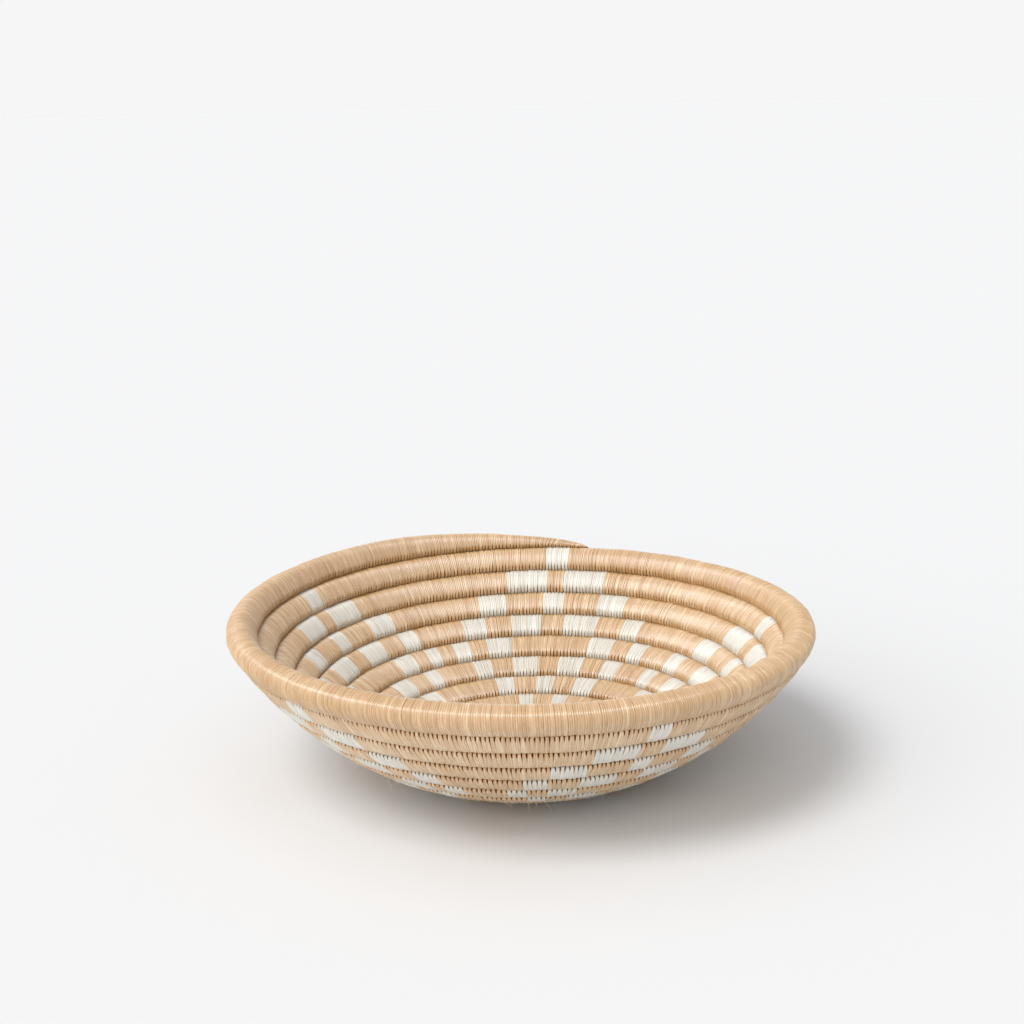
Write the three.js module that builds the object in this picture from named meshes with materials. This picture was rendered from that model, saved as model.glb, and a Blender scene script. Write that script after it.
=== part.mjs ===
import * as THREE from 'three';

// Coiled basket bowl, in millimetres, +Z up, with the origin on its axis at the underside of the base.
// One grass core winds clockwise from a start knot at the centre out to a tapering tail on the rim.
// Sisal wraps cover the core round by round and hold each round against the one before it.

// The bowl's shape, followed through the middle of the coil
const rimRadius = 122.2; // from the axis to the coil at the tip of the tail
const baseRadius = 30.5; // the flat part that the bowl stands on
const rimSlope = 57.4; // degrees from level at the rim
const slopeEarliness = 0.62; // under 1, the wall turns up soon after the base and is straighter at the rim

// The coil
const coilSpacing = 12; // from one round to the next, measured along the wall
const baseDepths = { outside: 5.4, inside: 3.1 }; // of the coil from the wall's line, at the base
const rimDepths = { outside: 5.7, inside: 5.8 };
const thickening = 1.6; // above 1, the coil grows thicker mostly near the rim
const roundGap = 0.4; // between neighbouring rounds
const wrapThickness = 1.2; // two layers of sisal strand
const coreClearance = 0.3; // between the wrap and the grass core
const wrapEndGap = 0.3; // between the wraps of two rounds, where one strand ends and the next begins

// The start at the centre
const knotRadius = 8.6;
const knotRounding = 2.6; // how far the knot's edges are rounded

// The tail on the rim
const tailDirection = 74; // degrees from +X, seen from above, to the tip of the tail
const tailLength = 95; // along the rim, from the full coil to the tip
const tailFullness = 0.55; // under 1, the tail stays thick for longer before it closes

// Both ends of the coil
const tipWidth = 2.4; // of the wrap, where it closes over the end of the core
const boreWidth = 5.6; // of the wrap, where there is room for the core inside
const leastFlatness = 0.4; // thickness left at a tip, as a share of the full coil's thickness

// Faceting
const stepsPerTurn = 24;
const wallSteps = 160;

const turnAngle = 2 * Math.PI;
const facetAngle = turnAngle / stepsPerTurn;
const tailAngle = THREE.MathUtils.degToRad(tailDirection);

function slopeAtShare(share) {
  return THREE.MathUtils.degToRad(rimSlope) * Math.max(0, share) ** slopeEarliness;
}

// How far the wall runs level for each millimetre of its length, on average from the base to the rim
function meanLevelRun() {
  let sum = 0;
  for (let i = 0; i < wallSteps; i += 1) {
    sum += Math.cos(slopeAtShare((i + 0.5) / wallSteps));
  }
  return sum / wallSteps;
}

const wallLength = (rimRadius - baseRadius) / meanLevelRun();
const rimDistance = baseRadius + wallLength;
const turns = (rimDistance - knotRadius) / coilSpacing + 0.5;
const tailTurns = tailLength / (turnAngle * rimRadius);

// The point of the wall at a distance from the axis, measured along the wall
function wallAt(distance) {
  const climbed = Math.max(0, distance - baseRadius);
  const step = climbed / wallSteps;
  let radius = Math.min(distance, baseRadius);
  let height = 0;
  for (let i = 0; i < wallSteps; i += 1) {
    const slope = slopeAtShare((step * (i + 0.5)) / wallLength);
    radius += step * Math.cos(slope);
    height += step * Math.sin(slope);
  }
  return { radius, height, slope: slopeAtShare(climbed / wallLength) };
}

// The first round winds about the knot and grows from nothing to the full coil as it goes
function innerEdge(turn) {
  return knotRadius + coilSpacing * Math.max(0, turn - 1);
}

function tailShare(turn) {
  return Math.min(1, Math.max(0, (turns - turn) / tailTurns)) ** tailFullness;
}

// Place and size of the wrapped coil at a number of turns from its start
function coilAt(turn) {
  const inner = innerEdge(turn);
  const spacing = (innerEdge(turn + 1) - inner) * tailShare(turn);
  const share = spacing / coilSpacing;
  const flatness = leastFlatness + (1 - leastFlatness) * share;
  const distance = inner + spacing / 2;
  const toRim = THREE.MathUtils.clamp((distance - baseRadius) / wallLength, 0, 1) ** thickening;
  return {
    distance,
    width: spacing - roundGap,
    outside: flatness * THREE.MathUtils.lerp(baseDepths.outside, rimDepths.outside, toRim),
    inside: flatness * THREE.MathUtils.lerp(baseDepths.inside, rimDepths.inside, toRim),
    azimuth: tailAngle + (turns - turn) * turnAngle,
  };
}

// A six-sided section with corners towards the neighbouring rounds and flats inside and outside the bowl
function sectionCorners(coil, inset) {
  const quarter = coil.width / 4;
  const slantInset = inset * Math.hypot(1, quarter / Math.min(coil.outside, coil.inside));
  const corner = coil.width / 2 - slantInset;
  const flatInside = coil.inside - inset;
  const flatOutside = coil.outside - inset;
  const shoulderInside = corner - quarter * (flatInside / coil.inside);
  const shoulderOutside = corner - quarter * (flatOutside / coil.outside);
  return [
    [corner, 0],
    [shoulderInside, flatInside],
    [-shoulderInside, flatInside],
    [-corner, 0],
    [-shoulderOutside, -flatOutside],
    [shoulderOutside, -flatOutside],
  ];
}

// All rounds lie on the same facets, so their flats stay parallel whatever the steps
function facetShare(azimuth) {
  const pastCorner = THREE.MathUtils.euclideanModulo(azimuth - tailAngle, facetAngle);
  return Math.cos(facetAngle / 2) / Math.cos(pastCorner - facetAngle / 2);
}

// The rings of the coil are six corners each. Where the wall starts to rise they stay level with the base.
function coilRing(turn, inset) {
  const coil = coilAt(turn);
  const underside = inset - baseDepths.outside;
  const wall = wallAt(coil.distance);
  const reach = facetShare(coil.azimuth);
  const corners = sectionCorners(coil, inset);
  return corners.map(([along, through]) => {
    const radius = reach * (wall.radius + along * Math.cos(wall.slope) - through * Math.sin(wall.slope));
    const rise = wall.height + along * Math.sin(wall.slope) + through * Math.cos(wall.slope);
    const height = Math.max(underside, rise);
    return new THREE.Vector3(radius * Math.cos(coil.azimuth), radius * Math.sin(coil.azimuth), height);
  });
}

// Turns of the rings from one turn to another: both ends, and every facet's corner between them
function ringTurns(from, to) {
  const list = [from];
  const first = Math.ceil((turns - to) * stepsPerTurn);
  const last = Math.floor((turns - from) * stepsPerTurn);
  const closest = 0.1;
  for (let i = last; i >= first; i -= 1) {
    const turn = turns - i / stepsPerTurn;
    const clearOfEnds = Math.min(turn - from, to - turn) * stepsPerTurn > closest;
    if (clearOfEnds) list.push(turn);
  }
  list.push(to);
  return list;
}

function ringsBetween(from, to, inset) {
  return ringTurns(from, to).map((turn) => coilRing(turn, inset));
}

function addSkin(triangles, rings, facingOut) {
  for (let i = 0; i + 1 < rings.length; i += 1) {
    const near = rings[i];
    const far = rings[i + 1];
    for (let j = 0; j < near.length; j += 1) {
      const next = (j + 1) % near.length;
      const quad = facingOut
        ? [near[j], near[next], far[j], far[j], near[next], far[next]]
        : [near[j], far[j], near[next], far[j], far[next], near[next]];
      triangles.push(...quad);
    }
  }
}

function addCap(triangles, ring, facingBack) {
  for (let j = 1; j + 1 < ring.length; j += 1) {
    const fan = facingBack ? [ring[0], ring[j + 1], ring[j]] : [ring[0], ring[j], ring[j + 1]];
    triangles.push(...fan);
  }
}

// The ring-shaped end of a wrap, where the core runs on into the next one
function addOpenEnd(triangles, outer, inner, facingBack) {
  for (let j = 0; j < outer.length; j += 1) {
    const next = (j + 1) % outer.length;
    const quad = facingBack
      ? [outer[j], inner[j], outer[next], inner[j], inner[next], outer[next]]
      : [outer[j], outer[next], inner[j], inner[j], outer[next], inner[next]];
    triangles.push(...quad);
  }
}

function solidFrom(triangles) {
  return new THREE.BufferGeometry().setFromPoints(triangles);
}

// A closed tube along the coil
function tubeSolid(from, to, inset) {
  const triangles = [];
  const rings = ringsBetween(from, to, inset);
  addSkin(triangles, rings, true);
  addCap(triangles, rings[0], true);
  addCap(triangles, rings[rings.length - 1], false);
  return solidFrom(triangles);
}

// A sleeve along the coil, closed over the core's end where its bore stops short of its own end
function sleeveSolid(from, to, boreFrom, boreTo) {
  const triangles = [];
  const outer = ringsBetween(from, to, 0);
  const bore = ringsBetween(boreFrom, boreTo, wrapThickness);
  addSkin(triangles, outer, true);
  addSkin(triangles, bore, false);
  if (boreFrom > from) {
    addCap(triangles, outer[0], true);
    addCap(triangles, bore[0], false);
  } else {
    addOpenEnd(triangles, outer[0], bore[0], true);
  }
  const outerEnd = outer[outer.length - 1];
  const boreEnd = bore[bore.length - 1];
  if (boreTo < to) {
    addCap(triangles, outerEnd, false);
    addCap(triangles, boreEnd, true);
  } else {
    addOpenEnd(triangles, outerEnd, boreEnd, false);
  }
  return solidFrom(triangles);
}

// The knot's outline from the axis at its underside, round its edge, to the axis on top
function knotOutline() {
  const radius = knotRadius - roundGap / 2;
  const bottom = -baseDepths.outside;
  const top = baseDepths.inside;
  return [
    new THREE.Vector2(0, bottom),
    new THREE.Vector2(radius - knotRounding, bottom),
    new THREE.Vector2(radius, bottom + knotRounding),
    new THREE.Vector2(radius, top - knotRounding),
    new THREE.Vector2(radius - knotRounding, top),
    new THREE.Vector2(0, top),
  ];
}

// Turns at which the coil has a given wrap width, at its start and on its tail
function startTurn(width) {
  return (width + roundGap) / coilSpacing;
}

function tailTurn(width) {
  const share = (width + roundGap) / coilSpacing;
  return turns - tailTurns * share ** (1 / tailFullness);
}

// A length along the coil, in turns, at a given turn
function lengthInTurns(length, turn) {
  return length / (turnAngle * wallAt(coilAt(turn).distance).radius);
}

function sisal(name) {
  return new THREE.MeshStandardMaterial({ name, color: 0xdcb98c, roughness: 0.68, metalness: 0 });
}

function grass() {
  const name = 'dry_grass';
  return new THREE.MeshStandardMaterial({ name, color: 0xa98a57, roughness: 0.85, metalness: 0 });
}

const bowl = new THREE.Group();
bowl.name = 'woven_basket_bowl';

const coil = new THREE.Group();
coil.name = 'coil';
coil.position.z = baseDepths.outside;
bowl.add(coil);

function addPiece(name, geometry, material) {
  geometry.computeVertexNormals();
  const piece = new THREE.Mesh(geometry, material);
  piece.name = name;
  coil.add(piece);
  return piece;
}

// The start knot, a button of coiled and overstitched sisal
const knotSolid = new THREE.LatheGeometry(knotOutline(), stepsPerTurn);
const knot = addPiece('start_knot', knotSolid, sisal('start_knot_sisal'));
knot.rotation.x = Math.PI / 2;

// The grass core, one unbroken spiral from beside the knot to the tail
const boreStart = startTurn(boreWidth);
const boreEnd = tailTurn(boreWidth);
const coreStart = boreStart + lengthInTurns(coreClearance, boreStart);
const coreEnd = boreEnd - lengthInTurns(coreClearance, boreEnd);
addPiece('grass_core', tubeSolid(coreStart, coreEnd, wrapThickness + coreClearance), grass());

// The wraps, one for each round from the centre out, and the last one over the tail
const roundCount = Math.max(2, Math.round(turns));
const tailStart = turns - tailTurns;

function wrapEnd(turn, side) {
  return turn + (side * lengthInTurns(wrapEndGap, turn)) / 2;
}

for (let round = 1; round <= roundCount; round += 1) {
  const first = round === 1;
  const last = round === roundCount;
  const from = first ? startTurn(tipWidth) : wrapEnd(turns - (roundCount - round + 1), 1);
  const to = last ? wrapEnd(tailStart, -1) : wrapEnd(turns - (roundCount - round), -1);
  const boreFrom = first ? boreStart : from;
  const name = `sisal_wrap_round_${String(round).padStart(2, '0')}`;
  addPiece(name, sleeveSolid(from, to, boreFrom, to), sisal(name));
}

const tailFrom = wrapEnd(tailStart, 1);
const tailSolid = sleeveSolid(tailFrom, tailTurn(tipWidth), tailFrom, boreEnd);
addPiece('sisal_wrap_tail', tailSolid, sisal('sisal_wrap_tail'));

// The core's least gap to itself, between neighbouring rounds
function leastCoreGap() {
  let least = Infinity;
  for (const turn of ringTurns(coreStart, coreEnd - 1)) {
    const near = coilRing(turn, wrapThickness + coreClearance);
    const far = coilRing(turn + 1, wrapThickness + coreClearance);
    for (const point of near) {
      for (const other of far) least = Math.min(least, point.distanceTo(other));
    }
  }
  return least;
}

console.log(`turns ${turns.toFixed(2)}, wall ${wallLength.toFixed(1)} mm`);
console.log(`core to itself ${leastCoreGap().toFixed(2)} mm`);

export default bowl;
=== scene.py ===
import math

import bmesh
import bpy
import numpy as np
from mathutils import Matrix, Vector


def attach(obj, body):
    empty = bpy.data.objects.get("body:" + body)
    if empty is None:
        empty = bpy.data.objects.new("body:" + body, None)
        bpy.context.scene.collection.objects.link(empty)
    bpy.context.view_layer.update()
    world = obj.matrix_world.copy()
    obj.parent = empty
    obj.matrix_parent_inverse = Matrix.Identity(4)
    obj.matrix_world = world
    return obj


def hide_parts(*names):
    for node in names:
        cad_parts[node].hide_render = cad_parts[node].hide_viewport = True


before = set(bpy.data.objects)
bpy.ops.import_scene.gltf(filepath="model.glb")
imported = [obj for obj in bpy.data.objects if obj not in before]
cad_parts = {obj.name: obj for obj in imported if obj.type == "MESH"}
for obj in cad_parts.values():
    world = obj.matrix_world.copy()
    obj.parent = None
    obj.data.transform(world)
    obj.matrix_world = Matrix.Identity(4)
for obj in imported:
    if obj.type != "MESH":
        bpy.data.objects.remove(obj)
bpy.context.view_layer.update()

# A coiled basket bowl in metres. One grass bundle winds clockwise, seen from above, from a start button at
# the centre out to a tapering tail on the rim. Sisal strands wrap it all along, in stitches of two, and
# each stitch bites into the round before it. A place on the coil is given by its turn, from 0 at the
# button to the tail's tip.

bowlShape = {
    "rimRadius": 0.1222,  # from the axis to the coil at the tip of the tail
    "baseRadius": 0.0305,  # of the flat base, where the wall starts to rise
    "rimSlope": 57.4,  # degrees from level
    "slopeEarliness": 0.62,  # below 1, the wall steepens mostly near its foot
    "coilSpacing": 0.012,  # from one round to the next, along the wall
    "baseDepths": (0.0054, 0.0031),  # of the coil outside and inside the wall's line, at the base
    "rimDepths": (0.0057, 0.0058),  # the same at the rim
    "thickening": 1.6,  # above 1, the coil grows thicker mostly near the rim
    "buttonRadius": 0.0086,
    "tailDirection": 74.0,  # degrees from +X to the tip of the tail
    "tailLength": 0.095,
    "tailFullness": 0.55,  # below 1, the tail keeps its width for longer
    "leastFlatness": 0.4,  # thickness left at the coil's two tips, as a share
    "startWidth": 0.002,  # of the coil where its wrapping starts
    "tipWidth": 0.0007,  # and where it ends
    "rounds": 12,
    "bulge": 0.0016,  # the wall swells a little on one side, halfway up
    "bulgeDirection": -10.0,  # degrees from +X
    "bulgeFocus": 4,  # the higher, the narrower the side that swells
}

spacing = bowlShape["coilSpacing"]
restHeight = bowlShape["baseDepths"][0]
fullTurn = 2 * math.pi
quarterTurn = math.pi / 2
wallSamples = 4000


def wallSlope(share):
    return math.radians(bowlShape["rimSlope"]) * np.clip(share, 0, None) ** bowlShape["slopeEarliness"]


sampleShares = (np.arange(wallSamples) + 0.5) / wallSamples
levelRun = bowlShape["rimRadius"] - bowlShape["baseRadius"]
wallLength = levelRun / np.mean(np.cos(wallSlope(sampleShares)))
rimDistance = bowlShape["baseRadius"] + wallLength
# at the last turn the middle of a full coil would be at the rim's distance
turns = (rimDistance - bowlShape["buttonRadius"]) / spacing + 0.5
tailTurns = bowlShape["tailLength"] / (fullTurn * bowlShape["rimRadius"])

# the wall's outline through the middle of the coil, by distance from the axis along the wall
wallDistance = np.linspace(0, rimDistance + spacing, wallSamples)
stepMiddles = (wallDistance[1:] + wallDistance[:-1]) / 2
stepSlopes = wallSlope((stepMiddles - bowlShape["baseRadius"]) / wallLength)
stepLength = wallDistance[1]
wallRadius = np.concatenate([[0], np.cumsum(np.cos(stepSlopes) * stepLength)])
wallHeight = np.concatenate([[0], np.cumsum(np.sin(stepSlopes) * stepLength)])


def innerEdge(turn):
    return bowlShape["buttonRadius"] + spacing * np.clip(turn - 1, 0, None)


# 1 along the coil, falling to 0 along the tail
def tailShare(turn):
    return np.clip((turns - turn) / tailTurns, 0, 1) ** bowlShape["tailFullness"]


def coilAt(turn):
    inner = innerEdge(turn)
    width = (innerEdge(turn + 1) - inner) * tailShare(turn)
    flatness = bowlShape["leastFlatness"] + (1 - bowlShape["leastFlatness"]) * width / spacing
    distance = inner + width / 2
    climbed = (distance - bowlShape["baseRadius"]) / wallLength
    toRim = np.clip(climbed, 0, 1) ** bowlShape["thickening"]
    azimuth = math.radians(bowlShape["tailDirection"]) + (turns - turn) * fullTurn
    fromBulge = azimuth - math.radians(bowlShape["bulgeDirection"])
    oneSide = np.cos(fromBulge / 2) ** bowlShape["bulgeFocus"]
    bulge = bowlShape["bulge"] * oneSide * np.sin(np.clip(climbed, 0, 1) * math.pi)
    baseDepths, rimDepths = bowlShape["baseDepths"], bowlShape["rimDepths"]
    return {
        "radius": np.interp(distance, wallDistance, wallRadius) + bulge,
        "height": np.interp(distance, wallDistance, wallHeight) + restHeight,
        "slope": wallSlope(climbed),
        "climbed": climbed,
        "width": width,
        "outerDepth": (baseDepths[0] + (rimDepths[0] - baseDepths[0]) * toRim) * flatness,
        "innerDepth": (baseDepths[1] + (rimDepths[1] - baseDepths[1]) * toRim) * flatness,
        "azimuth": azimuth,
    }


# the camera, worked out from the photograph
cameraSetup = {
    "elevation": 17.2586,  # degrees above the rim, seen from the bowl's axis at the rim
    "distance": 6.2997,  # in rim radii
    "pitch": 14.1301,
    "yaw": -0.2924,
    "roll": -1.3082,
    "focalPixels": 1792.54,
    "framePixels": 1024,
    "sensorWidth": 36,  # in millimetres
    "nearestSeen": 0.01,
}


def placeCamera():
    print("camera")
    setup = cameraSetup
    reach = setup["distance"] * bowlShape["rimRadius"]
    rimHeight = float(np.interp(rimDistance, wallDistance, wallHeight)) + restHeight
    elevation, pitch, yaw, roll = (math.radians(setup[key]) for key in ("elevation", "pitch", "yaw", "roll"))
    place = Vector((0, -reach * math.cos(elevation), rimHeight + reach * math.sin(elevation)))
    ahead = Vector((math.sin(yaw) * math.cos(pitch), math.cos(yaw) * math.cos(pitch), -math.sin(pitch)))
    level = Vector((math.cos(yaw), -math.sin(yaw), 0))
    upright = level.cross(ahead)
    right = level * math.cos(roll) + upright * math.sin(roll)
    up = upright * math.cos(roll) - level * math.sin(roll)
    data = bpy.data.cameras.new("photoCamera")
    data.sensor_width = setup["sensorWidth"]
    data.lens = setup["focalPixels"] / setup["framePixels"] * data.sensor_width
    data.clip_start = setup["nearestSeen"]
    camera = bpy.data.objects.new("photoCamera", data)
    axes = Matrix((right, up, -ahead)).transposed().to_4x4()
    camera.matrix_world = Matrix.Translation(place) @ axes
    bpy.context.collection.objects.link(camera)
    bpy.context.scene.camera = camera


# turns an sRGB hex colour to the linear values that Blender works in
def linear(hexColour):
    channels = [int(hexColour[i:i + 2], 16) / 255 for i in (1, 3, 5)]
    flat = [c / 12.92 if c <= 0.04045 else ((c + 0.055) / 1.055) ** 2.4 for c in channels]
    return (*flat, 1)


# empties a node tree and gives the function that adds a node to it, with its settings, values and links
def nodesOf(owner):
    owner.use_nodes = True
    tree = owner.node_tree
    tree.nodes.clear()

    def add(kind, settings=None, values=None, links=None):
        node = tree.nodes.new(kind)
        for key, value in (settings or {}).items():
            setattr(node, key, value)
        for key, value in (values or {}).items():
            node.inputs[key].default_value = value
        for key, source in (links or {}).items():
            tree.links.new(source, node.inputs[key])
        return node

    return add


# the strands go from dark to light; the groove colour is painted shade between two strands, and the pit
# colour painted shade where a stitch bites.
# The white strands are the same fibre, dyed, so their shades lie closer together
naturalFinish = {
    "dark": "#BD945D",
    "middle": "#D3B180",
    "light": "#EBD7B5",
    "groove": "#AE7535",
    "pit": "#643E17",
    "roughness": 0.37,
}
whiteFinish = {
    "dark": "#CCC9C0",
    "middle": "#DEDCD5",
    "light": "#EBE9E5",
    "groove": "#C8B794",
    "pit": "#664822",
    "roughness": 0.4,
}
sisalScale = {
    "fibreWidth": 0.0003,  # single fibres in a strand, at the coarse end so that they show
    "fibreLength": 0.006,  # of a streak along the strand
    "streakDetail": 2.0,
    "streakRoughness": 0.6,
    "patchSize": 0.018,  # where a bundle of leaves changed colour
    "patchDetail": 2.0,
    "relief": 0.00006,
    "reliefStrength": 0.6,
}
sisalShades = {
    # how much each adds to the shade: the fine streaks, the change between strands, and the patches
    "streaks": 0.7,
    "strands": 0.3,
    "patches": 0.14,
    # the shades that get the dark, middle and light colours
    "dark": 0.36,
    "middle": 0.57,
    "light": 0.8,
    # the amounts of painted shade over which the groove's shade colour comes in, then the pit's, and over
    # which the shine goes
    "groove": (0.0, 0.5),
    "pit": (0.35, 0.8),
    "dull": (0.15, 0.6),
}
sisalGloss = {
    "IOR": 1.58,  # cellulose, along its fibres
    "Anisotropic": 0.7,
    "Diffuse Roughness": 1.0,
    "Coat Roughness": 0.32,
    "Coat IOR": 1.58,
}


# Sisal is a scraped leaf fibre: straight, hard and glossy, wound side by side, so it has a satin sheen
# along each round, fine streaks along the strands and a change of shade from strand to strand.
def sisalMaterial(name, finish):
    print(f"material {name}")
    material = bpy.data.materials.new(name)
    add = nodesOf(material)
    along = add("ShaderNodeAttribute", {"attribute_name": "alongCoil"})
    around = add("ShaderNodeAttribute", {"attribute_name": "aroundCoil"})
    tint = add("ShaderNodeAttribute", {"attribute_name": "strandTint"})
    pit = add("ShaderNodeAttribute", {"attribute_name": "pitDepth"})
    across = add("ShaderNodeMath", {"operation": "DIVIDE"}, {1: sisalScale["fibreWidth"]},
                 {0: along.outputs["Fac"]})
    length = add("ShaderNodeMath", {"operation": "DIVIDE"}, {1: sisalScale["fibreLength"]},
                 {0: around.outputs["Fac"]})
    place = add("ShaderNodeCombineXYZ", links={"X": across.outputs[0], "Y": length.outputs[0]})
    fibrePattern = {"Scale": 1.0, "Detail": sisalScale["streakDetail"],
                    "Roughness": sisalScale["streakRoughness"]}
    fibres = add("ShaderNodeTexNoise", {"noise_dimensions": "2D"}, fibrePattern, {"Vector": place.outputs[0]})
    body = add("ShaderNodeTexCoord")
    patchPattern = {"Scale": 1 / sisalScale["patchSize"], "Detail": sisalScale["patchDetail"]}
    patches = add("ShaderNodeTexNoise", None, patchPattern, {"Vector": body.outputs["Object"]})

    streak = add("ShaderNodeMath", {"operation": "MULTIPLY"}, {1: sisalShades["streaks"]},
                 {0: fibres.outputs["Fac"]})
    shade = add("ShaderNodeMath", {"operation": "MULTIPLY_ADD"}, {1: sisalShades["strands"]},
                {0: tint.outputs["Fac"], 2: streak.outputs[0]})
    mottle = add("ShaderNodeMath", {"operation": "MULTIPLY_ADD"}, {1: sisalShades["patches"]},
                 {0: patches.outputs["Fac"], 2: shade.outputs[0]})
    ramp = add("ShaderNodeValToRGB", links={"Fac": mottle.outputs[0]})
    darkStop, lightStop = ramp.color_ramp.elements
    darkStop.position = sisalShades["dark"]
    darkStop.color = linear(finish["dark"])
    lightStop.position = sisalShades["light"]
    lightStop.color = linear(finish["light"])
    middleStop = ramp.color_ramp.elements.new(sisalShades["middle"])
    middleStop.color = linear(finish["middle"])

    grooveStart, grooveFull = sisalShades["groove"]
    shallow = add("ShaderNodeMapRange", None, {"From Min": grooveStart, "From Max": grooveFull},
                  {"Value": pit.outputs["Fac"]})
    pitStart, pitFull = sisalShades["pit"]
    deep = add("ShaderNodeMapRange", None, {"From Min": pitStart, "From Max": pitFull},
               {"Value": pit.outputs["Fac"]})
    grooved = add("ShaderNodeMix", {"data_type": "RGBA"}, {"B": linear(finish["groove"])},
                  {"Factor": shallow.outputs["Result"], "A": ramp.outputs["Color"]})
    colour = add("ShaderNodeMix", {"data_type": "RGBA"}, {"B": linear(finish["pit"])},
                 {"Factor": deep.outputs["Result"], "A": grooved.outputs["Result"]})
    bump = add("ShaderNodeBump", None,
               {"Strength": sisalScale["reliefStrength"], "Distance": sisalScale["relief"]},
               {"Height": fibres.outputs["Fac"]})
    # the fibres go round the coil's thickness, so their shine spreads across them, along the coil
    acrossFibres = add("ShaderNodeVectorMath", {"operation": "CROSS_PRODUCT"}, {0: (0, 0, 1)},
                       {1: body.outputs["Object"]})
    spread = add("ShaderNodeVectorMath", {"operation": "NORMALIZE"}, links={0: acrossFibres.outputs[0]})
    # the shine fades under the painted shade of grooves and bites, as painted shade on their reflection
    dullStart, dullFull = sisalShades["dull"]
    shine = add("ShaderNodeMapRange", None,
                {"From Min": dullStart, "From Max": dullFull, "To Min": 1.0, "To Max": 0.0},
                {"Value": pit.outputs["Fac"]})
    shader = add("ShaderNodeBsdfPrincipled", None, {"Roughness": finish["roughness"], **sisalGloss},
                 {"Base Color": colour.outputs["Result"], "Normal": bump.outputs["Normal"],
                  "Tangent": spread.outputs[0], "Specular IOR Level": shine.outputs["Result"],
                  "Coat Weight": shine.outputs["Result"]})
    add("ShaderNodeOutputMaterial", links={"Surface": shader.outputs["BSDF"]})
    return material


grassFinish = {
    "dark": "#6E5430",
    "light": "#B59A66",
    "roughness": 0.8,
    "stemWidth": 0.0025,
    "stemDetail": 3.0,
    "relief": 0.0003,
    "reliefStrength": 0.5,
}


# Dry grass stems: dull straw with darker joints, only glimpsed between the stitches
def grassMaterial():
    print("material dryGrassStems")
    material = bpy.data.materials.new("dryGrassStems")
    add = nodesOf(material)
    body = add("ShaderNodeTexCoord")
    stemPattern = {"Scale": 1 / grassFinish["stemWidth"], "Detail": grassFinish["stemDetail"]}
    stems = add("ShaderNodeTexNoise", None, stemPattern, {"Vector": body.outputs["Object"]})
    ramp = add("ShaderNodeValToRGB", links={"Fac": stems.outputs["Fac"]})
    ramp.color_ramp.elements[0].color = linear(grassFinish["dark"])
    ramp.color_ramp.elements[1].color = linear(grassFinish["light"])
    bump = add("ShaderNodeBump", None,
               {"Strength": grassFinish["reliefStrength"], "Distance": grassFinish["relief"]},
               {"Height": stems.outputs["Fac"]})
    shader = add("ShaderNodeBsdfPrincipled", None, {"Roughness": grassFinish["roughness"]},
                 {"Base Color": ramp.outputs["Color"], "Normal": bump.outputs["Normal"]})
    add("ShaderNodeOutputMaterial", links={"Surface": shader.outputs["BSDF"]})
    return material


stitching = {
    "strandWidth": 0.00085,
    "strandsPerStitch": 2,
    "ringsPerStrand": 4,
    # points round the coil: outside below and above, then inside above and below
    "around": (4, 9, 5, 8),
    "lengthSamples": 60000,
    "seed": 27,
}

# how uneven the hand work is: the middle and the spread of each value, then its least and its most
# where it has them
handWork = {
    "width": (1, 0.13, 0.6, 1.5),  # of a strand, as a share of the strand width
    "lift": (0, 0.00006),  # of a strand above its neighbours
    "tint": (0.5, 0.2, 0, 1),
    "groove": (1, 0.5, 0.1, 2.4),  # how open the groove before each strand is
    "bite": (1, 0.35, 0.3, 1.6),
    "innerBite": (0.8, 0.3, 0.2, 1.4),
    "slant": (0.05, 0.22),  # of a bite outside, in strands from the crest to the seam
    "waviness": 0.00018,  # how far the coil wanders from its line
    "waveLengths": ((0.031, 0.067, 0.148), (0.023, 0.059, 0.113)),  # up the wall, and in and out of it
}

random = np.random.default_rng(stitching["seed"])


def smoothStep(low, high, value):
    share = np.clip((value - low) / (high - low), 0, 1)
    return share * share * (3 - 2 * share)


def unevenly(key, count):
    middle, spread, least, most = handWork[key]
    return np.clip(random.normal(middle, spread, count), least, most)


# where every strand and every ring of points lies along the coil, and how each strand differs
def layStrands():
    print("strands")
    startTurn = bowlShape["startWidth"] / spacing
    tipTurn = turns - tailTurns * (bowlShape["tipWidth"] / spacing) ** (1 / bowlShape["tailFullness"])
    fineTurns = np.linspace(startTurn, tipTurn, stitching["lengthSamples"])
    radii = coilAt(fineTurns)["radius"]
    stepLengths = fullTurn * (radii[1:] + radii[:-1]) / 2 * np.diff(fineTurns)
    lengths = np.concatenate([[0], np.cumsum(stepLengths)])
    perStitch = stitching["strandsPerStitch"]
    stitchCount = int(lengths[-1] / stitching["strandWidth"] / perStitch)
    strandCount = stitchCount * perStitch
    widths = unevenly("width", strandCount)
    edges = np.concatenate([[0], np.cumsum(widths)])
    edgeLengths = edges / edges[-1] * lengths[-1]
    rings = stitching["ringsPerStrand"]
    ringPlace = np.arange(strandCount * rings + 1) / rings
    ringLengths = np.interp(ringPlace, np.arange(strandCount + 1), edgeLengths)
    return {
        "stitchCount": stitchCount,
        "strandCount": strandCount,
        "ringPlace": ringPlace,
        "ringLength": ringLengths,
        "ringTurn": np.interp(ringLengths, lengths, fineTurns),
        "lift": random.normal(*handWork["lift"], strandCount),
        "tint": unevenly("tint", strandCount),
        "groove": unevenly("groove", strandCount + 1),
        "bite": unevenly("bite", strandCount + 1),
        "innerBite": unevenly("innerBite", strandCount + 1),
        "slant": random.normal(*handWork["slant"], strandCount + 1),
    }


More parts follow.
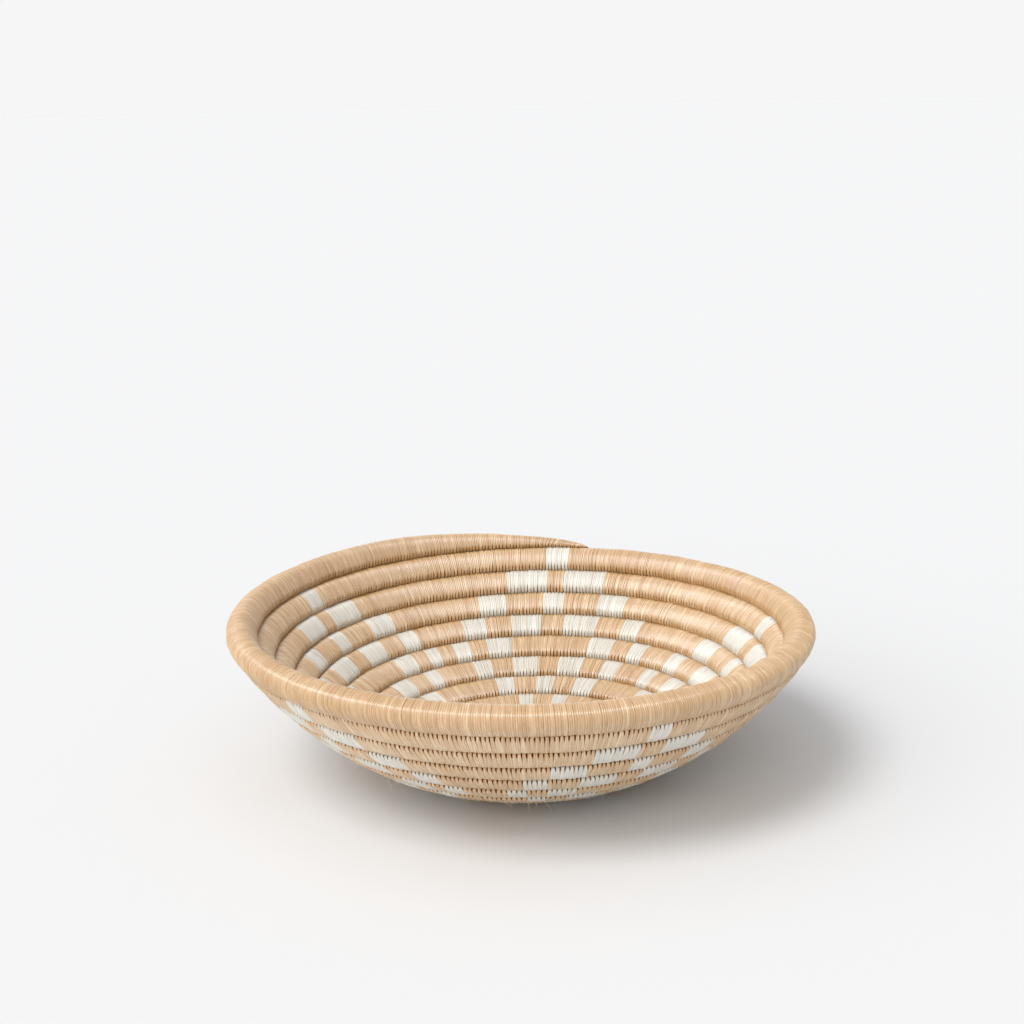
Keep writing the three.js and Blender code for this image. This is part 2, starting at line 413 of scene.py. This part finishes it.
# how far the coil wanders to one side, in a few waves of different lengths laid over each other
def slowWave(length, wavelengths):
    wave = np.zeros_like(length)
    for wavelength in wavelengths:
        wave += np.sin(length / wavelength * fullTurn + random.uniform(0, fullTurn))
    return wave / len(wavelengths)


coilSection = {
    # of each quarter: 2 is an ellipse, and a higher number is squarer
    "outerLower": 4.3,
    "outerUpper": 2.1,  # on the rim, which has nothing above it
    "outerPressed": 3.5,  # more than that where a round lies above and flattens it
    "innerUpper": 2.35,
    "innerLower": 3.8,
    # how far it reaches up and down, as a share of half its width: past 1 the rounds overlap
    "reachUp": 1.02,
    "outerOverlap": 0.25,  # more than that where a round lies above, which it comes up over outside
    "innerOverlap": 0.01,
    "outerReachDown": 0.9,
    "innerReachDown": 1.08,
    # the stitches pull the outside of a round a little upwards, most a little past halfway up the wall
    "rise": 0.0028,
    "riseLateness": 1.3,
    "riseEase": 0.5,  # below 1, more of the section rises
}


# the section of every ring without its strands: how far each point is up the wall and into the bowl
def sectionOfCoil(coil, angle, outside, upper, covered):
    cosine, sine = np.cos(angle), np.sin(angle)
    outerUpper = coilSection["outerUpper"] + coilSection["outerPressed"] * covered
    outerSquareness = np.where(upper, outerUpper, coilSection["outerLower"])
    innerSquareness = np.where(upper, coilSection["innerUpper"], coilSection["innerLower"])
    squareness = np.where(outside, outerSquareness, innerSquareness)
    overlap = np.where(outside, coilSection["outerOverlap"], coilSection["innerOverlap"]) * covered
    reachDown = np.where(outside, coilSection["outerReachDown"], coilSection["innerReachDown"])
    halfWidth = coil["width"] / 2 * np.where(upper, coilSection["reachUp"] + overlap, reachDown)
    halfDepth = np.where(outside, coil["outerDepth"], coil["innerDepth"])
    up = halfWidth * np.sign(cosine) * np.abs(cosine) ** (2 / squareness)
    inward = halfDepth * np.sign(sine) * np.abs(sine) ** (2 / squareness)
    climbed = np.clip(coil["climbed"], 0, 1) ** coilSection["riseLateness"]
    rise = coilSection["rise"] * np.sin(climbed * math.pi)
    up = up + rise * np.where(outside, -sine, 0) ** coilSection["riseEase"]
    return up, inward, halfWidth


neverZero = 1e-12


# the outward normal of every section, and the length of each step round it
def normalsOf(up, inward):
    upStep = np.gradient(up, axis=1)
    inwardStep = np.gradient(inward, axis=1)
    stepSize = np.hypot(upStep, inwardStep) + neverZero
    normalUp = inwardStep / stepSize
    normalIn = -upStep / stepSize
    facing = np.sign(np.sum(normalUp * up + normalIn * inward))
    return normalUp * facing, normalIn * facing, stepSize


# each strand has a crown, with a groove to each side of it
strandShape = {
    "relief": 0.0003,  # from a strand's crest to the groove beside it
    "fullReliefWidth": 0.008,  # where the coil is thinner the relief shrinks with it
    "outerRelief": 0.55,  # the strands lie tighter outside, as a share of that
    "tailRelief": 0.8,  # more on the slender end of the tail
    "steadyRelief": 0.7,  # the part that all strands share
    "changingRelief": 0.3,  # and the part that follows how open a groove is
    "crownEase": 0.7,  # below 1, a fuller crown
    "grooveWidth": 0.26,  # to each side, in strands
    "grooveShade": (0.16, 0.32),  # outside and inside: the painted shadow between two strands
    "rimGroove": 0.4,  # how far the outside of the rim goes from the first of these to the second
    "darkestGroove": 0.75,
    "rimTint": 0.25,  # how much darker the strands of the last round are, from 0 to 1
    "slenderTail": (0.3, 0.6),  # the tail is slender below the first share of its width, not above the other
}

# the next round's stitches part the strands outside, between every two, and inside each stitch dips where
# it goes down into the round before. A bite's places go from 0 on the crest to 1 at the seam, and its
# widths are in strands
outerBites = {
    "depth": 0.0012,
    "start": 0.2,
    "startSpread": 0.2,  # a strong bite starts nearer the crest
    "full": 0.28,
    "leastWidth": 0.12,
    "widening": 0.19,
    "ease": 0.6,  # the lower, the blunter the bite
    "uprightPlace": 0.6,  # where a slanting bite crosses the gap
}
innerBites = {
    "depth": 0.0011,
    "start": 0.4,
    "startSpread": 0.3,
    "full": 0.44,
    "leastWidth": 0.1,
    "widening": 0.2,
    "ease": 0.8,
    # the share of an inside bite's depth that is painted as shade
    "shade": 0.95,
}
# small scallops where the stitches come over the upper inside edge, with painted shade in them
scallops = {
    "depth": 0.0006,
    "start": 0.3,
    "full": 0.85,
    "width": 0.7,
    "shade": 0.6,
}

leaning = {
    "lean": 0.05,  # of a strand outside the bowl, along the coil as a share of how far it climbs
    "tailLean": 0.5,  # more on the slender end of the tail
    "leastRadius": 0.004,  # nearer the axis than this, a lean turns no further
}
# each bite also gets painted shade, which grows with its depth and is full at this depth
darkDepth = 0.0008  # at which a bite looks black


def biteDepth(bites, strength, toSeam, fromGap):
    reach = smoothStep(bites["start"] - bites["startSpread"] * strength, bites["full"], toSeam)
    side = np.clip(1 - fromGap / (bites["leastWidth"] + bites["widening"] * reach), 0, 1)
    return bites["depth"] * reach * side ** bites["ease"]


# the coil's surface at every ring: places and the values that its materials read
def surfaceOfCoil(strands):
    print("coil surface")
    turn = strands["ringTurn"]
    coil = {key: value[:, None] for key, value in coilAt(turn).items()}
    # the seam lies below, against the round before
    quarters = [q + np.arange(steps) / steps for q, steps in enumerate(stitching["around"])] + [[4.0]]
    angle = math.pi + np.concatenate(quarters) * quarterTurn
    # the two seams count as inside, in spite of rounding
    outside = np.sin(angle) < -1e-9
    upper = np.cos(angle) > 0
    # 1 where a round lies above, 0 on the rim
    covered = tailShare(turn + 1)[:, None]
    up, inward, halfWidth = sectionOfCoil(coil, angle, outside, upper, covered)
    normalUp, normalIn, stepSize = normalsOf(up, inward)

    place = strands["ringPlace"][:, None]
    strandCount = strands["strandCount"]
    before = np.clip(np.ceil(place[:, 0]) - 1, 0, strandCount - 1).astype(int)
    after = np.clip(np.floor(place[:, 0]), 0, strandCount - 1).astype(int)
    lift = (strands["lift"][before] + strands["lift"][after])[:, None] / 2
    tint = (strands["tint"][before] + strands["tint"][after])[:, None] / 2
    tint = tint - strandShape["rimTint"] * (turn[:, None] > turns - 1)
    slender = 1 - smoothStep(*strandShape["slenderTail"], tailShare(turn))[:, None]

    # the painted shade in the groove between two strands
    nearestEdge = np.round(place)
    fromEdge = np.abs(place - nearestEdge)
    edgeIndex = np.clip(nearestEdge[:, 0], 0, strandCount).astype(int)
    openness = strands["groove"][edgeIndex][:, None]
    groove = np.clip(1 - fromEdge / strandShape["grooveWidth"], 0, 1) * openness
    outerShade, innerShade = strandShape["grooveShade"]
    rimShade = outerShade + (innerShade - outerShade) * strandShape["rimGroove"] * (1 - covered)
    groove = groove * np.where(outside, rimShade, innerShade)
    groove = groove * (1 + slender)

    # the crown of each strand
    phase = place - np.floor(place)
    crown = np.sin(phase * math.pi) ** strandShape["crownEase"]
    outerRelief = 1 - (1 - strandShape["outerRelief"]) * covered
    crownHeight = strandShape["relief"] * np.where(outside, outerRelief, 1)
    crownHeight = crownHeight * (1 + strandShape["tailRelief"] * slender)
    steadiness = strandShape["steadyRelief"] + strandShape["changingRelief"] * openness
    relief = (crown - 1) * crownHeight * steadiness + lift

    perStitch = stitching["strandsPerStitch"]
    nearestGap = np.round(place / perStitch) * perStitch
    gapIndex = np.clip(nearestGap[:, 0], 0, strandCount).astype(int)
    fromGap = np.abs(place - nearestGap)
    toNext = np.where(outside & upper, (angle - 3 * quarterTurn) / quarterTurn, 0)
    slant = strands["slant"][gapIndex][:, None] * (outerBites["uprightPlace"] - toNext)
    fromSlantedGap = np.abs(place - nearestGap - slant)
    outerStrength = strands["bite"][gapIndex][:, None]
    outerBite = biteDepth(outerBites, outerStrength, toNext, fromSlantedGap) * covered

    toBefore = np.where(~outside & ~upper, (angle - 5 * quarterTurn) / quarterTurn, 0)
    innerStrength = strands["innerBite"][gapIndex][:, None]
    innerBite = biteDepth(innerBites, innerStrength, toBefore, fromGap)

    upInside = np.where(~outside & upper, 1 - (angle - fullTurn) / quarterTurn, 0)
    scallop = scallops["depth"] * smoothStep(scallops["start"], scallops["full"], upInside)
    scallop = scallop * np.clip(1 - fromGap / scallops["width"], 0, 1) * covered

    # painted shade of the bites and scallops, for the colour; they also cut the surface below
    bite = outerBite + innerBite * innerBites["shade"] + scallop * scallops["shade"]
    thinness = np.clip(coil["width"] / strandShape["fullReliefWidth"], 0, 1)
    move = (relief - outerBite - innerBite - scallop) * thinness
    length = strands["ringLength"][:, None]
    wave = handWork["waviness"] * tailShare(turn)[:, None]
    upWaves, inwardWaves = handWork["waveLengths"]
    up = up + normalUp * move + wave * slowWave(length, upWaves)
    inward = inward + normalIn * move + wave * slowWave(length, inwardWaves)

    # strands lean a little outside the bowl and run square to the coil inside it
    leanShift = np.where(outside, -up, -halfWidth) * leaning["lean"]
    leanShift[:, [0, -1]] = coil["width"] / 2 * leaning["lean"]
    leanShift = leanShift - up * leaning["tailLean"] * slender
    radius = coil["radius"] + up * np.cos(coil["slope"]) - inward * np.sin(coil["slope"])
    height = coil["height"] + up * np.sin(coil["slope"]) + inward * np.cos(coil["slope"])
    azimuth = coil["azimuth"] + leanShift / np.maximum(radius, leaning["leastRadius"])
    places = np.stack([radius * np.cos(azimuth), radius * np.sin(azimuth), np.maximum(height, 0)], axis=-1)
    # the painted shade that the materials read: the bites', or the grooves' where that is darker
    darkness = np.clip(groove, 0, strandShape["darkestGroove"])
    return {
        "places": places,
        "alongCoil": np.broadcast_to(length, radius.shape),
        "aroundCoil": np.cumsum(stepSize, axis=1),
        "strandTint": np.broadcast_to(tint, radius.shape),
        "pitDepth": np.maximum(np.clip(bite / darkDepth, 0, 1), darkness),
    }


# Nested stepped diamonds, five round the bowl. Each is one row high at its tips and widest on the fifth
# row below the rim. In every row the last block and the block two before it are white.
diamonds = {
    "centres": (81.0, 151.2, 223.0, 295.6, 368.0),  # degrees from +X, set round the bowl
    "widths": (1.0, 0.92, 0.91, 0.9, 0.99),  # of each diamond, as a share of the steps
    "middleHalf": 0.005,  # of the block on the centre
    "steps": (13.5, 21.8, 28.3, 33.8),  # degrees from a centre to the sides of the blocks beyond it
    "widestRow": 5,
    "rowsStartShare": 0.08,  # of a turn to the right of the tail's tip, where the rows are counted from
    "handError": 0.35,  # in degrees
    "errorCount": 400,
    "errorsPerTurn": 20,  # it changes every 18 degrees, not from stitch to stitch
}


def isWhite(turn, handError):
    row = int(turns - turn + diamonds["rowsStartShare"])
    fromTip = diamonds["widestRow"] - abs(row - diamonds["widestRow"])
    if fromTip < 1:
        return False
    azimuth = bowlShape["tailDirection"] + (turns - turn) * 360
    middleHalf = math.degrees(diamonds["middleHalf"] / float(coilAt(turn)["radius"]))
    sides = [0, middleHalf, *diamonds["steps"]]
    for centre, width in zip(diamonds["centres"], diamonds["widths"]):
        apart = abs((azimuth - centre + 180 + handError) % 360 - 180) / width
        block = int(np.searchsorted(sides, apart, side="right")) - 1
        if block in (fromTip - 1, fromTip - 3) and apart < sides[-1]:
            return True
    return False


def finishPiece(name, mesh, material, nodes):
    piece = bpy.data.objects.new(name, mesh)
    bpy.context.collection.objects.link(piece)
    mesh.materials.append(material)
    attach(piece, "root")
    if nodes:
        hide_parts(*nodes)


def setAttribute(mesh, key, values):
    attribute = mesh.attributes.new(key, "FLOAT", "POINT")
    attribute.data.foreach_set("value", values.reshape(-1).astype(np.float32))


# one closed tube along the coil for each run of rings, all in one mesh
def tubeMesh(name, runs, surface, around):
    bm = bmesh.new()
    for first, last in runs:
        bmesh.ops.create_grid(bm, x_segments=around, y_segments=last - first, size=1)
    mesh = bpy.data.meshes.new(name)
    bm.to_mesh(mesh)
    bm.free()
    rings = np.concatenate([np.arange(first, last + 1) for first, last in runs])
    mesh.vertices.foreach_set("co", surface["places"][rings].reshape(-1))
    for key, values in surface.items():
        if key != "places":
            setAttribute(mesh, key, values[rings])
    bm = bmesh.new()
    bm.from_mesh(mesh)
    # closes each tube along its seam, where the points coincide, then over its two ends
    bmesh.ops.remove_doubles(bm, verts=bm.verts, dist=1e-7)
    bmesh.ops.holes_fill(bm, edges=bm.edges, sides=around)
    bmesh.ops.recalc_face_normals(bm, faces=bm.faces)
    for face in bm.faces:
        face.smooth = len(face.verts) <= 4
    bm.to_mesh(mesh)
    bm.free()
    return mesh


# the number of the round that a turn lies on, from the centre out, and one more on the tail
def roundAt(turn):
    rounds = bowlShape["rounds"]
    if turn > turns - tailTurns:
        return rounds + 1
    return min(rounds, max(1, rounds - int(turns - turn)))


# joins neighbouring stitches to runs of rings, each from its first ring to its last
def joinStitches(stitches, ringsPerStitch):
    runs = []
    for stitch in stitches:
        first, last = stitch * ringsPerStitch, (stitch + 1) * ringsPerStitch
        if runs and runs[-1][1] == first:
            runs[-1][1] = last
        else:
            runs.append([first, last])
    return runs


def wrapTheCoil(natural, white):
    strands = layStrands()
    surface = surfaceOfCoil(strands)
    ringsPerStitch = stitching["strandsPerStitch"] * stitching["ringsPerStrand"]
    middles = strands["ringTurn"][ringsPerStitch // 2::ringsPerStitch][:strands["stitchCount"]]
    errorCount, errorsPerTurn = diamonds["errorCount"], diamonds["errorsPerTurn"]
    handErrors = random.normal(0, diamonds["handError"], errorCount)
    whites = [isWhite(turn, handErrors[int(turn * errorsPerTurn) % errorCount]) for turn in middles]
    roundOf = [roundAt(turn) for turn in middles]
    for number in range(1, bowlShape["rounds"] + 2):
        members = [i for i in range(len(middles)) if roundOf[i] == number]
        isTail = number > bowlShape["rounds"]
        node = "sisal_wrap_tail" if isTail else f"sisal_wrap_round_{number:02d}"
        for colour, material, wanted in (("natural", natural, False), ("white", white, True)):
            runs = joinStitches([i for i in members if whites[i] == wanted], ringsPerStitch)
            if not runs:
                continue
            name = "tail_overcast" if isTail else f"{colour}_sisal_round_{number:02d}"
            mesh = tubeMesh(name, runs, surface, sum(stitching["around"]))
            finishPiece(name, mesh, material, [node])
            print(f"{name}: {len(runs)} runs, {len(mesh.polygons)} faces")


buttonShape = {
    "ridges": 30,
    "stepsPerRidge": 4,
    "ridgeSharpness": 3,
    "ridgeFade": 3,  # the ridges are full from a third of the way out
    "dimple": 0.0012,
    "relief": 0.00022,
    "twist": 0.5,  # radians from the middle to the edge
    "overlap": 0.0006,  # how far it goes under the first round
    "edgeSteps": 12,
    "flatShare": 0.45,  # of the radius, inside its rounded edge
    "edgeEase": 0.6,  # below 1, a fuller edge
    "dimpleRadius": 0.2,  # as a share of the radius
    "shallowPart": 0.25,  # of the dimple's depth, at its edge below
    "deeperPart": 0.6,  # of the dimple's depth, in the middle below and at its edge above
    "tint": 0.5,
    "tintSpread": 0.3,
    "tintWaves": 7,
    "darkShare": 0.25,  # of the radius, where painted shade darkens the button towards its dimpled middle
    "darkness": 0.8,
}


def startButton(material):
    print("start button")
    radius = bowlShape["buttonRadius"] + buttonShape["overlap"]
    thickness = sum(bowlShape["baseDepths"])
    dimple = buttonShape["dimple"]
    edgeSteps, flatShare = buttonShape["edgeSteps"], buttonShape["flatShare"]
    outline = []
    for i in range(edgeSteps + 1):
        swing = math.pi * i / edgeSteps
        roundedEdge = (1 - flatShare) * radius * math.sin(swing) ** buttonShape["edgeEase"]
        outline.append((flatShare * radius + roundedEdge, thickness / 2 - math.cos(swing) * thickness / 2))
    # a shallow dimple below and a deeper one above
    dimpleRadius = buttonShape["dimpleRadius"] * radius
    shallow, deeper = dimple * buttonShape["shallowPart"], dimple * buttonShape["deeperPart"]
    outline = [(0, deeper), (dimpleRadius, shallow)] + outline
    outline += [(dimpleRadius, thickness - deeper), (0, thickness - dimple)]
    bm = bmesh.new()
    corners = [bm.verts.new((reach, 0, height)) for reach, height in outline]
    for a, b in zip(corners, corners[1:]):
        bm.edges.new((a, b))
    steps = buttonShape["ridges"] * buttonShape["stepsPerRidge"]
    bmesh.ops.spin(bm, geom=bm.verts[:] + bm.edges[:], cent=(0, 0, 0), axis=(0, 0, 1), angle=fullTurn,
                   steps=steps, use_merge=True)
    # the spin leaves a point for every step on the axis
    bmesh.ops.remove_doubles(bm, verts=bm.verts, dist=1e-6)
    bmesh.ops.recalc_face_normals(bm, faces=bm.faces)
    bm.normal_update()
    moves = []
    for vert in bm.verts:
        share = math.hypot(vert.co.x, vert.co.y) / radius
        angle = math.atan2(vert.co.y, vert.co.x) + buttonShape["twist"] * share
        groove = abs(math.cos(angle * buttonShape["ridges"] / 2)) ** buttonShape["ridgeSharpness"]
        fade = min(1, share * buttonShape["ridgeFade"])
        moves.append(vert.normal * (-buttonShape["relief"] * groove * fade))
    for vert, move in zip(bm.verts, moves):
        vert.co += move
        vert.co.z = max(0, vert.co.z)
    for face in bm.faces:
        face.smooth = True
    mesh = bpy.data.meshes.new("start_button")
    bm.to_mesh(mesh)
    bm.free()
    places = np.array([v.co[:] for v in mesh.vertices])
    around = np.hypot(places[:, 0], places[:, 1])
    angles = np.arctan2(places[:, 1], places[:, 0])
    tint = buttonShape["tint"] + buttonShape["tintSpread"] * np.sin(angles * buttonShape["tintWaves"])
    # painted shade in the button's dimpled middle
    dark = np.clip(1 - around / (buttonShape["darkShare"] * radius), 0, 1) * buttonShape["darkness"]
    setAttribute(mesh, "alongCoil", angles * radius)
    setAttribute(mesh, "aroundCoil", around)
    setAttribute(mesh, "strandTint", tint)
    setAttribute(mesh, "pitDepth", dark)
    finishPiece("start_button", mesh, material, ["start_knot"])


grassBundle = {
    "cover": 0.0012,  # of sisal over it
    "stems": 8,
    "pointsPerStem": 3,
    "relief": 0.0003,
    "stepsPerTurn": 60,
    "firstTurn": 0.55,
    "tailLeft": 0.4,  # of the tail, which the bundle doesn't reach
    "leastHalf": 0.0005,  # of its width and of its depth
}


def grassCore(material):
    print("grass bundle")
    first = grassBundle["firstTurn"]
    last = turns - tailTurns * grassBundle["tailLeft"]
    turn = np.linspace(first, last, int((last - first) * grassBundle["stepsPerTurn"]))
    coil = {key: value[:, None] for key, value in coilAt(turn).items()}
    around = grassBundle["stems"] * grassBundle["pointsPerStem"]
    angle = math.pi + np.arange(around + 1) / around * fullTurn
    groove = grassBundle["relief"] * (1 - np.abs(np.sin(angle * grassBundle["stems"] / 2)))
    inset = grassBundle["cover"] + groove
    depth = np.where(np.sin(angle) < 0, coil["outerDepth"], coil["innerDepth"])
    up = np.maximum(coil["width"] / 2 - inset, grassBundle["leastHalf"]) * np.cos(angle)
    inward = np.maximum(depth - inset, grassBundle["leastHalf"]) * np.sin(angle)
    radius = coil["radius"] + up * np.cos(coil["slope"]) - inward * np.sin(coil["slope"])
    height = coil["height"] + up * np.sin(coil["slope"]) + inward * np.cos(coil["slope"])
    places = np.stack([radius * np.cos(coil["azimuth"]), radius * np.sin(coil["azimuth"]), height], axis=-1)
    mesh = tubeMesh("grass_bundle", [[0, len(turn) - 1]], {"places": places}, around)
    finishPiece("grass_bundle", mesh, material, ["grass_core"])


# Here and there the end of a fibre has worked loose, mostly low on the outside
looseEnds = {
    "count": 60,
    "thickness": 0.00024,
    "taper": 0.6,
    "reach": (0.0025, 0.0075),
    "turns": (3.8, 8.0),
    "rootPlaces": (-0.7, 0.5),  # on the coil, from -1 at its lower edge to 1 at its upper one
    "rootDepth": 0.86,  # of the coil's depth there
    # how far each goes off the coil, along it, up or down it, and how it droops, as shares of its reach
    "off": 0.45,
    "sideways": (-1, 1),
    "curl": (-0.5, 0.5),
    "droop": (0, 0.4),
    "tint": 1.0,
    "around": 5,
    "steps": 8,
}


def looseFibres(material):
    print("loose fibres")
    steps, around = looseEnds["steps"], looseEnds["around"]
    count = looseEnds["count"]
    coil = coilAt(random.uniform(*looseEnds["turns"], count))
    azimuth = coil["azimuth"]
    side = random.uniform(*looseEnds["sideways"], count)
    reach = random.uniform(*looseEnds["reach"], count)
    place = random.uniform(*looseEnds["rootPlaces"], count) * coil["width"] / 2
    slope = coil["slope"]
    share = np.linspace(0, 1, steps + 1)[None, :, None]
    outward = np.stack([np.cos(azimuth), np.sin(azimuth), np.zeros(count)], axis=-1)
    along = np.stack([-np.sin(azimuth), np.cos(azimuth), np.zeros(count)], axis=-1)
    upright = np.array([0, 0, 1.0])
    normal = outward * np.sin(slope)[:, None] - upright * np.cos(slope)[:, None]
    climb = outward * np.cos(slope)[:, None] + upright * np.sin(slope)[:, None]
    root = outward * coil["radius"][:, None] + upright * coil["height"][:, None]
    root = root + climb * place[:, None] + normal * (coil["outerDepth"] * looseEnds["rootDepth"])[:, None]
    curl = random.uniform(*looseEnds["curl"], count)
    away = (normal * looseEnds["off"] + along * side[:, None] + climb * curl[:, None]) * reach[:, None]
    droop = -upright * (reach * random.uniform(*looseEnds["droop"], count))[:, None]
    path = root[:, None] + away[:, None] * share + droop[:, None] * share ** 2
    forward = np.gradient(path, axis=1)
    forward /= np.linalg.norm(forward, axis=2, keepdims=True)
    across = np.cross(forward, upright)
    across /= np.linalg.norm(across, axis=2, keepdims=True)
    rise = np.cross(across, forward)
    angle = np.linspace(0, fullTurn, around + 1)
    radius = looseEnds["thickness"] / 2 * (1 - looseEnds["taper"] * share)[..., None]
    ring = across[:, :, None] * np.cos(angle)[:, None] + rise[:, :, None] * np.sin(angle)[:, None]
    places = (path[:, :, None] + ring * radius).reshape(-1, around + 1, 3)
    places[..., 2] = np.maximum(places[..., 2], 0)
    flat = np.zeros(places.shape[:2])
    surface = {
        "places": places,
        "alongCoil": flat + random.uniform(0, 1, len(places))[:, None],
        "aroundCoil": flat,
        "strandTint": flat + looseEnds["tint"],
        "pitDepth": flat,
    }
    runs = [[i * (steps + 1), i * (steps + 1) + steps] for i in range(count)]
    mesh = tubeMesh("loose_fibres", runs, surface, around)
    finishPiece("loose_fibres", mesh, material, [])


stageSetup = {
    "floor": "#E4E5E7",
    "floorRadius": 12,
    "floorSides": 96,
    "backdrop": "#F6F6F6",
    "skyStrength": 0.46,
}
# three suns: spreads in degrees across, azimuths in degrees from +X, colours in linear values
lamps = {
    "softKey": {"strength": 1.35, "spread": 25.0, "elevation": 56.0, "azimuth": 227.0,
                "colour": (1, 1, 1), "mirrored": True},
    "wideKey": {"strength": 0.74, "spread": 100.0, "elevation": 58.0, "azimuth": 222.0,
                "colour": (1, 1, 1), "mirrored": True},
    # only lifts the shadows
    "lowFill": {"strength": 1.92, "spread": 90.0, "elevation": 10.0, "azimuth": 234.0,
                "colour": (1, 0.96, 0.89), "mirrored": False},
}


def buildStage():
    print("stage")
    # studio paper: matt and pale, so that it shows little but the bowl's shadow
    material = bpy.data.materials.new("paperFloor")
    add = nodesOf(material)
    shader = add("ShaderNodeBsdfDiffuse", None, {"Color": linear(stageSetup["floor"])})
    add("ShaderNodeOutputMaterial", links={"Surface": shader.outputs["BSDF"]})
    bm = bmesh.new()
    bmesh.ops.create_circle(bm, cap_ends=True, segments=stageSetup["floorSides"],
                            radius=stageSetup["floorRadius"])
    mesh = bpy.data.meshes.new("floor")
    bm.to_mesh(mesh)
    bm.free()
    mesh.materials.append(material)
    floor = bpy.data.objects.new("floor", mesh)
    bpy.context.collection.objects.link(floor)

    # the backdrop's colour is only seen, straight or in a gloss, and the room's light does the lighting
    world = bpy.data.worlds.new("studio")
    bpy.context.scene.world = world
    add = nodesOf(world)
    room = add("ShaderNodeBackground", None, {"Color": (1, 1, 1, 1), "Strength": stageSetup["skyStrength"]})
    seen = add("ShaderNodeBackground", None, {"Color": linear(stageSetup["backdrop"])})
    paths = add("ShaderNodeLightPath")
    direct = add("ShaderNodeMath", {"operation": "MAXIMUM"},
                 links={0: paths.outputs["Is Camera Ray"], 1: paths.outputs["Is Transmission Ray"]})
    shown = add("ShaderNodeMath", {"operation": "MAXIMUM"},
                links={0: direct.outputs[0], 1: paths.outputs["Is Glossy Ray"]})
    mix = add("ShaderNodeMixShader", links={0: shown.outputs[0], 1: room.outputs[0], 2: seen.outputs[0]})
    add("ShaderNodeOutputWorld", links={"Surface": mix.outputs[0]})

    for name, lamp in lamps.items():
        data = bpy.data.lights.new(name, "SUN")
        data.energy = lamp["strength"]
        data.color = lamp["colour"]
        data.angle = math.radians(lamp["spread"])
        sun = bpy.data.objects.new(name, data)
        bpy.context.collection.objects.link(sun)
        sun.visible_glossy = lamp["mirrored"]
        elevation, azimuth = math.radians(lamp["elevation"]), math.radians(lamp["azimuth"])
        level = math.cos(elevation)
        towards = Vector((level * math.cos(azimuth), level * math.sin(azimuth), math.sin(elevation)))
        sun.rotation_euler = towards.to_track_quat("Z", "Y").to_euler()


bpy.context.scene.view_settings.view_transform = "Standard"
placeCamera()
buildStage()
naturalSisal = sisalMaterial("naturalWrappedSisal", naturalFinish)
whiteSisal = sisalMaterial("dyedWhiteSisal", whiteFinish)
wrapTheCoil(naturalSisal, whiteSisal)
startButton(naturalSisal)
grassCore(grassMaterial())
looseFibres(naturalSisal)
